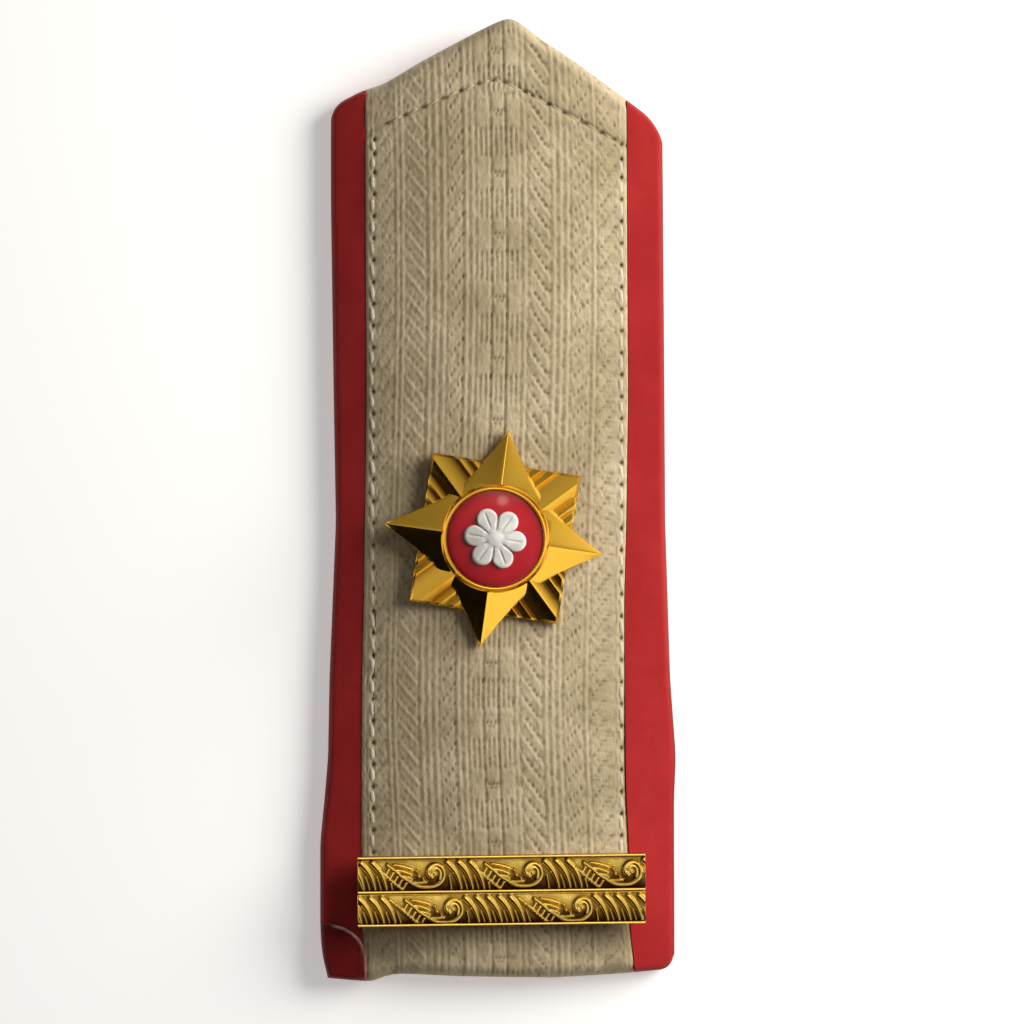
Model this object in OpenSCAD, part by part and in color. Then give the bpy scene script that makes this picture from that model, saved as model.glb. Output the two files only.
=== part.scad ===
/* [Board] */
// Length of the board from hem to point
board_len = 134.8; // [125:0.1:145]
// Thickness of the padded board with its cloth cover
board_t = 3.0; // [2.4:0.1:4]
// Rise of the arch under the middle of the board
arch_rise = 3.5; // [3.2:0.1:5]
// Rise of the arch that is left at the hem
hem_rise = 1.8; // [1.6:0.1:2.4]
// Distance over which the padded edge rounds off
edge_round = 1.6; // [1:0.1:2]

/* [Point] */
// Sideways place of the point
point_x = 1.5; // [0:0.1:3]
// Fall of the left slope, in degrees
left_fall = 27.6; // [25:0.1:30]
// Fall of the right slope, in degrees
right_fall = 36; // [34:0.1:38]
// Roundness of the point
point_round = 1.2; // [0.8:0.1:2]
// Radius of the left shoulder
left_shoulder = 2.2; // [1.5:0.1:4]
// Radius of the right shoulder
right_shoulder = 3; // [1.5:0.1:4]

/* [Ribbon] */
// Thickness of the braid
ribbon_t = 1.0; // [1:0.1:1.5]
// Distance over which the braid rolls over the hem and the point
ribbon_roll = 1.8; // [1.2:0.1:2.4]

/* [Star] */
// Distance from the middle to each tip
star_r = 15.3; // [14:0.1:16]
// Distance from the middle to each inner corner between two arms
star_valley_r = 8.7; // [8:0.1:9.5]
// Distance from the middle to each corner of the ray plate
plate_r = 14.8; // [14:0.1:15.5]
// Turn of the whole star
star_turn = -8; // [-10:0.5:10]
// Middle of the star, across
star_x = -0.4; // [-1:0.1:1]
// Middle of the star, along
star_y = -5.3; // [-8:0.1:0]
// Outer radius at the collar's foot
collar_r = 8.3; // [8:0.1:8.6]
// Height of the collar over the star's seat
collar_h = 4.6; // [4.4:0.1:5.2]
// Radius of the enamel disc
disc_r = 6.75; // [6.5:0.05:6.8]
// Radius of the post
post_r = 1.1; // [0.9:0.1:1.3]

/* [Bars] */
// Length of a rank bar
bar_len = 40.2; // [38:0.1:42]
// Width of the upper bar
upper_w = 5.1; // [4.8:0.1:5.2]
// Width of the lower bar
lower_w = 4.8; // [4.5:0.1:5]
// Thickness of a bar without its relief
bar_t = 1.2; // [1:0.1:1.5]
// Height of the relief
relief_h = 0.7; // [0.5:0.1:0.9]
// Turn of both bars
bar_turn = 0.76; // [0:0.02:1]
// Distance from a bar's middle to each post
bar_post_x = 12; // [10:0.5:14]
// Radius of a bar's post
bar_post_r = 0.6; // [0.5:0.1:0.8]

/* [Back] */
// Width of the strap, along the board
strap_w = 18; // [15:1:20]
// Thickness of the strap
strap_t = 1.0; // [1:0.1:1.2]
// Half of the strap's length, across the board
strap_half = 17.5; // [16.5:0.1:17.5]
// Middle of the strap, along the board
strap_y = 24; // [20:1:30]

/* [Hidden] */
$fn = 64;
gap = 0.06;
bore_gap = 0.1;
loose_gap = 0.15;
tuck_gap = 0.3;
fold_gap = 0.25;
fold_near = 0.2;
fold_far = 1;
skirt_z = 0.3;

// Sides of the board: place along it, left edge, right edge
SIDES = [
    [-64, -24.9, 24.5],
    [-48, -25.0, 24.6],
    [-42, -24.4, 24.7],
    [-36, -23.9, 25.0],
    [-25, -23.7, 24.2],
    [-3, -22.8, 23.5],
    [14, -23.1, 23.4],
    [42, -23.5, 23.2],
    [52, -23.5, 23.1]
];

// Sides of the braid: place along it, left edge, right edge
BRAID = [
    [-66, -19.0, 18.8],
    [-48, -19.0, 18.4],
    [-36, -19.0, 17.7],
    [-14, -18.8, 17.6],
    [14, -18.4, 17.8],
    [58, -18.6, 17.6]
];

// Wave of the hem: place across it, distance past the hem's own line
HEM = [
    [-25.0, -1.6],
    [-23.9, 0.0],
    [-21.0, 0.4],
    [-18.5, 0.5],
    [-14.5, -0.2],
    [0.0, -0.1],
    [8.0, 0.0],
    [17.0, -0.5],
    [22.7, -1.1],
    [23.9, -1.6],
    [24.6, -2.8]
];

// Height of the arch: place along it, share of the rise between hem and middle
ARCH = [
    [-67, 0],
    [-60, 0.2],
    [-50, 0.6],
    [-38, 0.9],
    [-25, 1],
    [68, 1]
];

half_len = board_len / 2;
hem_y = 0.5 - half_len;
shoulder_y = half_len - 15;
left_side = -23.5;
right_side = 23.2;
rows = 20;
board_steps = [0, 0.2, 0.7, edge_round];
braid_steps = [0, 0.25, ribbon_t, ribbon_t + 0.1, ribbon_roll];
tuck_r = 7;
tuck_t = 0.9;
tuck_corner = [-25.6, -66.8];
tuck_left = tuck_corner.x + 0.9;
tuck_right = -19.15;

seat_z = arch_rise + board_t + gap + ribbon_t + gap;
plate_t = 0.9;
flute_h = 0.7;
arm_base = 1.2;
arm_apex = 6.4;
disc_seat = 3.3;
disc_edge = 0.9;
dome_rise = 0.7;
dome_r = (disc_r * disc_r + dome_rise * dome_rise) / (2 * dome_rise);
petal_t = 0.35;
nut_r = 3.2;
nut_h = 1.6;
bar_x = 0.5;
upper_y = -52.1;
lower_y = -57.2;
head_r = 1.5;
head_h = 0.5;

// Value of one column of a table, on straight lines between its rows
function between(t, k, a) =
    let (last = len(t) - 1)
    a <= t[0][0] ? t[0][k] :
    a >= t[last][0] ? t[last][k] :
    let (i = [for (j = [0 : last - 1]) if (a >= t[j][0] && a < t[j + 1][0]) j][0])
    let (s = (a - t[i][0]) / (t[i + 1][0] - t[i][0]))
    t[i][k] + (t[i + 1][k] - t[i][k]) * s;

// Outline: the pointed end and the hem as heights over the place across
function slope_y(x) =
    let (d = x - point_x)
    let (fall = tan(d < 0 ? left_fall : right_fall))
    half_len - fall * (sqrt(d * d + point_round * point_round) - point_round);
function corner_drop(past, r) = past <= 0 ? 0 : r - sqrt(max(0, r * r - past * past));
function tip_y(x) =
    slope_y(x)
    - corner_drop(left_side + left_shoulder - x, left_shoulder)
    - corner_drop(x - right_side + right_shoulder, right_shoulder);
function hem_line(x) = hem_y - between(HEM, 1, x);

// Share of the braid over a place across the board, 1 under it and 0 beside it
function under_braid(x, y) =
    let (l = between(BRAID, 1, y) - fold_far)
    let (r = between(BRAID, 2, y) + fold_far)
    max(0, min(1, (x - l) / (fold_far - fold_near), (r - x) / (fold_far - fold_near)));

// Underside of the board, an arch that stands on both long edges
function arch(y) = hem_rise + (arch_rise - hem_rise) * between(ARCH, 1, y);
function half_width(x, y) = (x < 0 ? -between(SIDES, 1, y) : between(SIDES, 2, y)) - edge_round;
function under_z(x, y) = max(0, arch(y) * (1 - pow(x / half_width(x, y), 2)));
function round_off(d, r) = sqrt(1 - pow(1 - max(0.04, min(1, d / r)), 2));

function board_tip(x) = tip_y(x) - (ribbon_t + fold_gap) * under_braid(x, half_len);
function board_hem(x) = hem_line(x) + (ribbon_t + fold_gap) * under_braid(x, -half_len);
function board_half(x, y) =
    let (side = min(x - between(SIDES, 1, y), between(SIDES, 2, y) - x))
    let (end = min(y - board_hem(x), board_tip(x) - y))
    board_t / 2 * round_off(side, edge_round) * round_off(end, edge_round);
function board_top(x, y) = under_z(x, y) + board_t / 2 + board_half(x, y);
function board_low(x, y) = under_z(x, y) + board_t / 2 - board_half(x, y);

// Places along the board from a to b, close together near both ends
function along(n, a, b, steps) =
    let (last = steps[len(steps) - 1])
    concat(
        [for (s = steps) a + s],
        [for (k = [1 : n - 1]) a + last + (b - a - 2 * last) * k / n],
        [for (k = [len(steps) - 1 : -1 : 0]) b - steps[k]]
    );

// Places across the board from one edge to the point's line, close together near the edge and, on the
// board itself, at both sides of the braid's own edge
function half_row(edge, steps, folds, n) =
    let (way = sign(point_x - edge))
    let (near = concat([for (s = steps) edge + way * s], folds))
    let (start = near[len(near) - 1])
    concat(near, [for (k = [1 : n]) start + (point_x - start) * k / n]);
function row(left, right) = concat(left, [for (k = [len(right) - 2 : -1 : 0]) right[k]]);
function board_row(level) =
    let (l = between(BRAID, 1, level))
    let (r = between(BRAID, 2, level))
    row(
        half_row(between(SIDES, 1, level), board_steps, [l - fold_far, l - fold_near], 6),
        half_row(between(SIDES, 2, level), board_steps, [r + fold_far, r + fold_near], 6)
    );
function braid_row(level) =
    row(
        half_row(between(BRAID, 1, level), braid_steps, [], 5),
        half_row(between(BRAID, 2, level), braid_steps, [], 5)
    );

// Closed solid between a grid of upper points and a grid of lower points
module slab(upper, lower) {
    lines = len(upper);
    cols = len(upper[0]);
    size = lines * cols;
    points = concat([for (r = upper) for (p = r) p], [for (r = lower) for (p = r) p]);
    top = [for (i = [0 : lines - 2]) for (j = [0 : cols - 2]) let (a = i * cols + j)
        for (f = [[a, a + cols, a + 1], [a + 1, a + cols, a + cols + 1]]) f];
    low = [for (f = top) [f[0] + size, f[2] + size, f[1] + size]];
    rim = concat(
        [for (j = [0 : cols - 2]) j],
        [for (i = [0 : lines - 2]) i * cols + cols - 1],
        [for (j = [cols - 1 : -1 : 1]) (lines - 1) * cols + j],
        [for (i = [lines - 1 : -1 : 1]) i * cols]
    );
    wall = [for (k = [0 : len(rim) - 1]) let (a = rim[k]) let (b = rim[(k + 1) % len(rim)])
        for (f = [[a, b, a + size], [b, b + size, a + size]]) f];
    polyhedron(points, concat(top, low, wall));
}

// Grid of places on the board, hem first, left edge first
function places(n, row_at, steps, hem, tip) =
    let (count = len(row_at(0)))
    let (shares = along(n, 0, half_len * 2, steps) / (half_len * 2))
    let (lines = [for (j = [0 : count - 1])
        [for (i = [0 : len(shares) - 1])
            let (x = row_at(hem_y + (shoulder_y - hem_y) * shares[i])[j])
            [x, along(n, hem(x), tip(x), steps)[i]]]])
    [for (i = [0 : len(shares) - 1]) [for (j = [0 : count - 1]) lines[j][i]]];

module board() {
    at = places(rows, function (y) board_row(y), board_steps,
        function (x) board_hem(x), function (x) board_tip(x));
    color("#a5262b")
        difference() {
            slab(
                [for (r = at) [for (p = r) [p.x, p.y, board_top(p.x, p.y)]]],
                [for (r = at) [for (p = r) [p.x, p.y, board_low(p.x, p.y)]]]
            );
            fastener_bores();
        }
}

// Holes for the star's post and for the posts of both bars
module fastener_bores() {
    translate([star_x, star_y, -1])
        cylinder(r = post_r + bore_gap, h = 12);
    for (y = [upper_y, lower_y])
        translate([bar_x, y, -1])
            rotate(bar_turn)
                for (side = [-1, 1])
                    translate([side * bar_post_x, 0, 0])
                        cylinder(r = bar_post_r + bore_gap, h = 12);
}

// The braid's own surfaces: it rolls over the hem and the point and covers the board's end there
function braid_end(x, y) = min(y - hem_line(x), tip_y(x) - y);
function braid_top(x, y) =
    let (e = braid_end(x, y))
    let (flat = under_z(x, y) + board_t + gap + ribbon_t)
    flat - (board_t / 2 + ribbon_t) * (1 - round_off(e, ribbon_roll));
function braid_low(x, y) =
    under_z(x, y) + (braid_end(x, y) < ribbon_t + 0.01 ? skirt_z : board_t + gap);

module ribbon() {
    at = places(rows, function (y) braid_row(y), braid_steps,
        function (x) hem_line(x), function (x) tip_y(x));
    color("#c9b68f")
        difference() {
            slab(
                [for (r = at) [for (p = r) [p.x, p.y, braid_top(p.x, p.y)]]],
                [for (r = at) [for (p = r) [p.x, p.y, braid_low(p.x, p.y)]]]
            );
            fastener_bores();
        }
}

// Pleat of cloth over the lower left corner, round on its free side
module corner_tuck() {
    n = 9;
    at = [for (i = [0 : n]) [for (j = [0 : n])
        let (x = tuck_left + (tuck_right - tuck_left) * j / n)
        let (y0 = hem_line(x) + 0.15)
        let (y1 = tuck_corner.y + sqrt(max(1, tuck_r * tuck_r - pow(x - tuck_corner.x, 2))))
        [x, y0 + (y1 - y0) * i / n]]];
    color("#5f1518")
        slab(
            [for (i = [0 : n]) [for (j = [0 : n])
                let (p = at[i][j])
                let (rim = i == 0 || j == 0 || i == n || j == n)
                [p.x, p.y, board_top(p.x, p.y) + tuck_gap + (rim ? tuck_t / 2 : tuck_t)]]],
            [for (r = at) [for (p = r) [p.x, p.y, board_top(p.x, p.y) + tuck_gap]]]
        );
}

// Roof-shaped rib along x
module roof(length, width, height) {
    rotate([90, 0, 90])
        linear_extrude(length)
            polygon([[-width / 2, 0], [width / 2, 0], [0, height]]);
}

// Square ray plate with ribs that run out to its four corners
module ray_plate() {
    wide = 3.8;
    narrow = 1.4;
    foot = 7.7;
    blunt = 0.15;
    sink = 0.05;
    intersection() {
        union() {
            translate([-plate_r, -plate_r, 0])
                cube([2 * plate_r, 2 * plate_r, plate_t]);
            for (q = [0 : 3])
                rotate(45 + 90 * q) {
                    translate([foot, 0, plate_t - sink])
                        roof(plate_r - foot, wide, flute_h * 1.6);
                    for (side = [-1, 1])
                        for (k = [0 : 2])
                            translate([foot - 2, side * (wide / 2 + narrow * (k + 0.5)), plate_t - sink])
                                roof(plate_r - foot, narrow, flute_h);
                }
        }
        rotate(45)
            linear_extrude(3)
                polygon([for (q = [0 : 3]) for (side = [-1, 1])
                    (plate_r - blunt) * [cos(90 * q), sin(90 * q)]
                    + side * blunt * [-sin(90 * q), cos(90 * q)]]);
    }
}

// Four arms, each with two facets that meet in a ridge
module star_arms() {
    rim = [for (k = [0 : 7])
        let (r = k % 2 == 0 ? star_r : star_valley_r)
        r * [cos(45 * k), sin(45 * k)]];
    points = concat(
        [for (p = rim) [p.x, p.y, plate_t / 2]],
        [for (p = rim) [p.x, p.y, arm_base]],
        [[0, 0, arm_apex], [0, 0, plate_t / 2]]
    );
    faces = concat(
        [for (k = [0 : 7]) [17, k, (k + 1) % 8]],
        [for (k = [0 : 7]) [k, k + 8, (k + 1) % 8 + 8, (k + 1) % 8]],
        [for (k = [0 : 7]) [k + 8, 16, (k + 1) % 8 + 8]]
    );
    polyhedron(points, faces);
}

// Round boss with a bevelled top where the middle rib meets the collar
module knob() {
    rotate_extrude($fn = 32)
        polygon([[0, 0], [0.8, 0], [0.8, 2], [0.45, 2.45], [0, 2.45]]);
}

module collar() {
    rotate_extrude()
        polygon([[0, 0.1], [collar_r, 0.1], [collar_r, 2.2], [collar_r - 0.5, collar_h - 0.5],
            [collar_r - 0.9, collar_h], [disc_r + bore_gap, collar_h], [disc_r + bore_gap, disc_seat],
            [0, disc_seat]]);
}

module star() {
    color("#d9a531")
        translate([star_x, star_y, seat_z]) {
            rotate(star_turn) {
                difference() {
                    union() {
                        ray_plate();
                        star_arms();
                        for (q = [0 : 3])
                            rotate(45 + 90 * q)
                                translate([collar_r + 0.2, 0, plate_t])
                                    knob();
                    }
                    translate([0, 0, 0.5])
                        cylinder(r = collar_r - 0.6, h = 10);
                }
                collar();
            }
            translate([0, 0, -seat_z + 1.4])
                cylinder(r = post_r, h = seat_z);
        }
}

// Domed enamel in the collar
module enamel_disc() {
    steps = 8;
    dome = [for (i = [0 : steps])
        let (r = disc_r * (1 - i / steps))
        [r, disc_edge + dome_rise - dome_r + sqrt(dome_r * dome_r - r * r)]];
    color("#b3122a")
        translate([star_x, star_y, seat_z + disc_seat + gap])
            rotate_extrude($fn = 96)
                polygon(concat([[0, 0], [disc_r, 0]], dome));
}

// Raised six-petal rosette that follows the dome
module enamel_rosette() {
    petals = 6;
    color("#f3efe4")
        translate([star_x, star_y, seat_z + disc_seat + gap])
            rotate(star_turn)
                intersection() {
                    linear_extrude(6)
                        union() {
                            circle(r = 1.9);
                            for (q = [0 : petals - 1])
                                rotate(360 / petals * q)
                                    translate([2.9, 0])
                                        circle(r = 1.45);
                        }
                    translate([0, 0, disc_edge + dome_rise - dome_r])
                        difference() {
                            sphere(r = dome_r + gap + petal_t, $fn = 96);
                            sphere(r = dome_r + gap, $fn = 96);
                        }
                }
}

// Curved leaf with a point at each end
module blade(x, y, aim, length, width, bend) {
    n = 8;
    mid = [for (i = [0 : n])
        let (a = aim + bend * i / n)
        [x, y] + length * i / n * [cos(a), sin(a)]];
    across = function (i) let (a = aim + 2 * bend * i / n) [-sin(a), cos(a)];
    side = function (i) width / 2 * (0.25 + sin(180 * i / n)) * across(i);
    polygon(concat(
        [for (i = [0 : n]) mid[i] + side(i)],
        [for (i = [n : -1 : 0]) mid[i] - side(i)]
    ));
}

// One repeat of the scroll ornament, its volute at the origin
module scroll(flutes) {
    difference() {
        circle(r = 1.3, $fn = 32);
        circle(r = 0.85, $fn = 32);
    }
    circle(r = 0.5, $fn = 24);
    blade(-7.4, 1.5, -42, 4.6, 0.6, 12);
    blade(-4.6, -1.4, -8, 4.2, 0.7, 16);
    for (k = [0 : 2])
        blade(-5.9 + 1.1 * k, -0.4 - 0.35 * k, 58 - 6 * k, 2.1, 0.7, -20);
    for (k = [0 : 2])
        translate([-4.5 + 1.3 * k, 1.5])
            circle(r = 0.32, $fn = 16);
    for (k = [0 : flutes - 1])
        blade(1.7 + 0.95 * k, -1.6, 62, 3.4, 0.75, 20);
}

// Rank bar with its rims, its ornament and its two posts; its seat is at z = 0
module rank_bar(width, volutes, flutes, post_drop) {
    rim = 0.45;
    round = 0.6;
    intersection() {
        union() {
            translate([-bar_len / 2, -width / 2, 0])
                cube([bar_len, width, bar_t]);
            for (side = [-1, 1])
                translate([-bar_len / 2, side * (width / 2 - rim / 2) - rim / 2, 0])
                    cube([bar_len, rim, bar_t + relief_h * 0.8]);
            for (k = [0 : len(volutes) - 1])
                translate([volutes[k], -0.1, 0])
                    linear_extrude(bar_t + relief_h)
                        scroll(flutes[k]);
        }
        linear_extrude(bar_t + relief_h + 1)
            union() {
                square([bar_len - 2 * round, width], center = true);
                square([bar_len, width - 2 * round], center = true);
                for (sx = [-1, 1])
                    for (sy = [-1, 1])
                        translate([sx * (bar_len / 2 - round), sy * (width / 2 - round)])
                            circle(r = round, $fn = 24);
            }
    }
    for (side = [-1, 1])
        translate([side * bar_post_x, 0, -post_drop]) {
            cylinder(r = bar_post_r, h = post_drop + 0.1);
            cylinder(r = head_r, h = head_h);
        }
}

// Height of a bar's seat on the crown of the braid, and its drop to the lower face of its rivet heads
bar_z = under_z(point_x, upper_y + upper_w / 2) + board_t + gap + ribbon_t + gap;
function drop_at(y) = bar_z - under_z(bar_post_x + head_r + bar_x, y - head_r) + gap + head_h;

module bar_upper() {
    color("#d9a531")
        translate([bar_x, upper_y, bar_z])
            rotate(bar_turn)
                rank_bar(upper_w, [-9.2, 4.8, 18.6], [4, 4, 1], drop_at(upper_y));
}

module bar_lower() {
    color("#d9a531")
        translate([bar_x, lower_y, bar_z])
            rotate(bar_turn)
                rank_bar(lower_w, [-6.8, 10.8], [5, 5], drop_at(lower_y));
}

module star_nut() {
    z = under_z(nut_r, star_y) - loose_gap - nut_h;
    color("#b9b4a6")
        translate([star_x, star_y, z])
            difference() {
                cylinder(r = nut_r, h = nut_h);
                translate([0, 0, -1])
                    cylinder(r = post_r + bore_gap / 2, h = nut_h + 2);
            }
}

// Strap that spans the arch and follows the underside at its two ends
module back_strap() {
    hold = 2.5;
    x1 = strap_half - hold;
    z0 = under_z(strap_half, strap_y) - loose_gap;
    z1 = under_z(x1, strap_y) - loose_gap;
    upper = [[-strap_half, z0], [-x1, z1], [x1, z1], [strap_half, z0]];
    color("#4d1014")
        translate([0, strap_y + strap_w / 2, 0])
            rotate([90, 0, 0])
                linear_extrude(strap_w)
                    polygon(concat(upper, [for (k = [3 : -1 : 0]) upper[k] - [0, strap_t]]));
}

board();
corner_tuck();
ribbon();
star();
enamel_disc();
enamel_rosette();
bar_upper();
bar_lower();
star_nut();
back_strap();
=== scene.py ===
# Shoulder board: every visible piece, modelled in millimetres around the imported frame
from math import cos, pi, radians, sin, sqrt, tan

import bpy
import numpy as np
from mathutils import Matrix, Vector


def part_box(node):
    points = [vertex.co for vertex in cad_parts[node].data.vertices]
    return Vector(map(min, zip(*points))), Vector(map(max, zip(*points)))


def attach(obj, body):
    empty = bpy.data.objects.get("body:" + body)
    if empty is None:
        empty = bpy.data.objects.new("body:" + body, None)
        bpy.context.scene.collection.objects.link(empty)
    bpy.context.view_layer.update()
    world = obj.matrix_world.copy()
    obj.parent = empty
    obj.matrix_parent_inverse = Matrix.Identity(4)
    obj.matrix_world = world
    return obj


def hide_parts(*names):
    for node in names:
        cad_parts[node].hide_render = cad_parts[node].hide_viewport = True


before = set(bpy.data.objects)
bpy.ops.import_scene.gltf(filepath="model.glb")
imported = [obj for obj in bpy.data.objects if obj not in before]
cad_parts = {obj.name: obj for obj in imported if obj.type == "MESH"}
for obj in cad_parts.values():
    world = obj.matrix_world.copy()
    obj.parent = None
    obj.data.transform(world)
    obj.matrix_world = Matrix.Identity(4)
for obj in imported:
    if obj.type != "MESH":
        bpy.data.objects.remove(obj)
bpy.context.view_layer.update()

MM = 0.001
TURN = 2 * pi


def box_mm(node):
    """Lowest and highest corner of a CAD node, in millimetres."""
    low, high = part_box(node)
    return np.array(low) / MM, np.array(high) / MM


# Board, its arch and its pointed end
half_len = box_mm("ribbon")[1][1]
hem_y = 0.5 - half_len
shoulder_y = half_len - 15
board_t = 3.0
arch_rise = 3.5
hem_rise = 1.8
edge_round = 1.6
point_x = 1.5
point_round = 1.2
left_fall = tan(radians(27.6))
right_fall = tan(radians(36))
left_side = -23.5
right_side = 23.2
left_shoulder = 2.2
right_shoulder = 3.0

# Place along the board, left edge, right edge
SIDES = [
    [-67.5, -23.8, 24.8], [-66.5, -24.05, 24.8], [-65, -24.45, 24.8], [-63.5, -24.75, 24.8],
    [-61, -24.95, 24.8], [-59, -25, 24.8], [-48, -25, 24.75], [-42, -24.4, 24.75], [-36, -23.9, 25],
    [-25, -23.7, 24.2], [-3, -22.8, 23.5], [14, -23.1, 23.4], [42, -23.5, 23.2], [52, -23.5, 23.1],
]
BRAID = [
    [-66.5, -19, 19.15], [-60, -19, 18.45], [-48, -19.1, 18.2], [-42, -19.1, 17.9], [-36, -19.1, 17.75],
    [-25, -19.05, 17.65], [-14, -18.8, 17.65], [-3, -18.65, 17.95], [14, -18.4, 18.2], [31, -18.5, 18.1],
    [58, -18.6, 17.95],
]
# Place across the board, distance past the hem's line
HEM = [
    [-25, -0.2], [-24.2, 0.1], [-23.6, 0.25], [-21, 0.45], [-18.5, 0.6], [-17.6, 0.52], [-16.8, 0.25],
    [-15.8, -0.15], [-14.8, -0.38], [-13.5, -0.48], [-11.5, -0.45], [-6, -0.2], [0, -0.1], [8, 0],
    [17, -0.5], [22.7, -0.95], [23.25, -1.05], [23.8, -1.3], [24.2, -1.7], [24.5, -2.2], [24.7, -2.8],
    [24.8, -3.6],
]
# Place across the board, small departure of the pointed end from its straight slopes
TIP = [
    [-23.4, 0.6], [-22.5, 0.5], [-21.6, 0.35], [-19.6, 0.3], [-18.8, 0.2], [-16.2, -0.4], [-13.7, -0.3],
    [-10.9, -0.1], [3, 0], [5.9, -0.35], [8.7, -0.15], [11.5, 0],
]
# Place along the board, share of the arch between hem and middle
ARCH = [[-67, 0], [-60, 0.32], [-50, 0.75], [-38, 0.93], [-25, 1], [68, 1]]

# Red cover: its rounded edge and the painted shade along it, its padded borders, how far its ends stop short
# under the braid, its grid
cloth_round = 0.8
border_puff = 0.82
lower_lean = 0.25
lean_pivot = 19.6
cover_inset = 1.25
inset_ramp = 0.04
painted_rim_shade = 0.45
cover_rows = 260
left_cells = 10
right_cells = 11
middle_cells = 12
# Faint creases across both borders: place along the board, slant
CREASES = [[-25.5, 0.05], [44, -0.03]]
# Distances of the grid's columns from the outer edge and from the braid's edge
COVER_RIM = [0, 0.03, 0.1, 0.22, 0.4, 0.62, 0.9, 1.25, 1.6]
COVER_SEWN = [0.0, 0.02, 0.04, 0.08, 0.14, 0.22, 0.4]

# Fold of cloth over the lower left corner: place across the board, upper edge
FOLD = [
    [-24.9, -59.2], [-23.6, -59.25], [-22.9, -59.4], [-21.5, -59.75], [-20.3, -60.45], [-19.4, -61.3],
    [-18.8, -62.3], [-18.5, -63.6], [-18.4, -65],
]
FOLD_RIM = [0, 0.04, 0.1, 0.17, 0.25, 0.34, 0.45, 0.6, 0.8, 1.0]
fold_left = FOLD[0][0]
fold_right = FOLD[-1][0]
fold_t = 0.32
fold_thin = 0.14
fold_lip = 0.26
fold_cells = 26

# Braid, its rolled ends and the grid that its weave is cut on
gap = 0.06
ribbon_t = 1.0
ribbon_roll = 1.8
skirt_z = 0.3
weave_left = -16.4
weave_right = 15.3
weave_step = 0.2
braid_rows = 480
edge_cells = 3
under_rows = 40
under_cells = 18
BRAID_RIM = [0, 0.05, 0.15, 0.27, 0.39, 0.51, 0.63, 0.75, 0.87, 0.99, 1.11, 1.23, 1.35, 1.5, 1.65]
BRAID_ENDS = [0, 0.05, 0.15, 0.3, 0.5, 0.8, 1.15, 1.5, 1.8]
# Place along the board, sideways place of the pattern's middle
MIDDLE = [
    [-64, 0.3], [-47, -0.3], [-39, -0.7], [-31, -1], [-23, -1], [14, 0], [29, 0.25], [46, 0.15],
    [54, 0], [63, -0.35],
]
# Place along the board, number of pattern repeats counted from the point down
REPEATS = [
    [-66.5, 15.1], [-64.2, 14.75], [-42, 12], [-33.4, 11], [-25.1, 10], [25.9, 4], [34.8, 3], [43.4, 2],
    [52, 1], [60.6, 0], [67.4, -0.8],
]
# Raised cords along the braid: place of the first groove, number of cords, pitch
CORDS = [
    [-14.65, 2, 0.76], [-10.2, 3, 0.98], [-5.05, 2, 0.9], [3.1, 1, 0.9], [7.15, 3, 0.95], [12.85, 1, 0.85],
]
cord_h = 0.06
leaf_pitch = 2.87

# Middle of the weave: a ribbed block and a block of cells make one repeat
block_len = 8.5
rib_start = -3.25
rib_end = 3.1
rib_count = 9
rib_pitch = 0.706
rib_h = 0.085
rib_share = 0.46
cell_share = 0.27
# Dents in a cell: place across, place down from the cell's middle
DENTS = [(-0.55, -0.15), (0, -0.15), (0.55, -0.15), (-0.3, 0.4), (0.3, 0.4)]

# Stitches
stitch_pitch = 3.07
stitch_starts = [0, 2.0, 4.6]
stitch_count = 32
left_stitch_x = -17.5
left_stitch_y = 50.5
right_stitch_x = 17.2
right_stitch_y = 49.8
seam_x = -0.56
seam_y = 58.7
seam_left = tan(radians(23.4))
seam_right = tan(radians(28.0))
seam_round = 1.5
hole_r = 0.24
thread_sides = 8
thread_flat = 0.4
side_thread_r = 0.33
seam_thread_r = 0.14
# Needle holes of the pointed seam: place across the board, half length
SEAM_HOLES = [
    [-15.6, 0.55], [-13, 0.45], [-10.6, 0.5], [-7.7, 0.5], [-5.2, 0.45], [-2.8, 0.45], [-0.7, 0.45],
    [1, 0.4], [3.75, 0.35], [4.8, 0.3], [7.1, 0.4], [9.4, 0.45], [12, 0.4], [14.5, 0.4], [16.2, 0.3],
]


# Shapes of lines and waves
def soft(table, column, at, reach=1.2):
    """Value of one column of a table over its first one, with the corners rounded off."""
    rows = np.array(table, float)
    shifts = reach * np.linspace(-1, 1, 5)
    return sum(np.interp(at + s, rows[:, 0], rows[:, column]) for s in shifts) / len(shifts)


def bell(distance, width):
    return np.exp(-((distance / width) ** 2))


def smooth_step(low, high, at):
    """Rises smoothly from nought to one between two places."""
    t = np.clip((at - low) / (high - low), 0, 1)
    return t * t * (3 - 2 * t)


def fade(low, high, at):
    """Falls smoothly from one to nought between two places."""
    return 1 - smooth_step(low, high, at)


def part(u, low, high, soft_mm=0.15):
    """One between two places, nought outside, with soft ends."""
    return smooth_step(low, low + soft_mm, u) * fade(high - soft_mm, high, u)


def ripple(x, y, size, seed, waves=7):
    """Gentle waves of about one size in every direction, between -1 and 1."""
    rng = np.random.default_rng(seed)
    total = 0
    for _ in range(waves):
        turn, phase = rng.uniform(0, TURN, 2)
        rate = TURN * rng.uniform(0.6, 1.5) / size
        total = total + np.sin(rate * (x * cos(turn) + y * sin(turn)) + phase)
    return total / waves


def blurred(field, cells):
    """Mean over a square window."""
    for axis in (0, 1):
        padded = np.pad(field, [(cells, cells) if k == axis else (0, 0) for k in (0, 1)], "edge")
        field = np.lib.stride_tricks.sliding_window_view(padded, 2 * cells + 1, axis).mean(-1)
    return field


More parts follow.
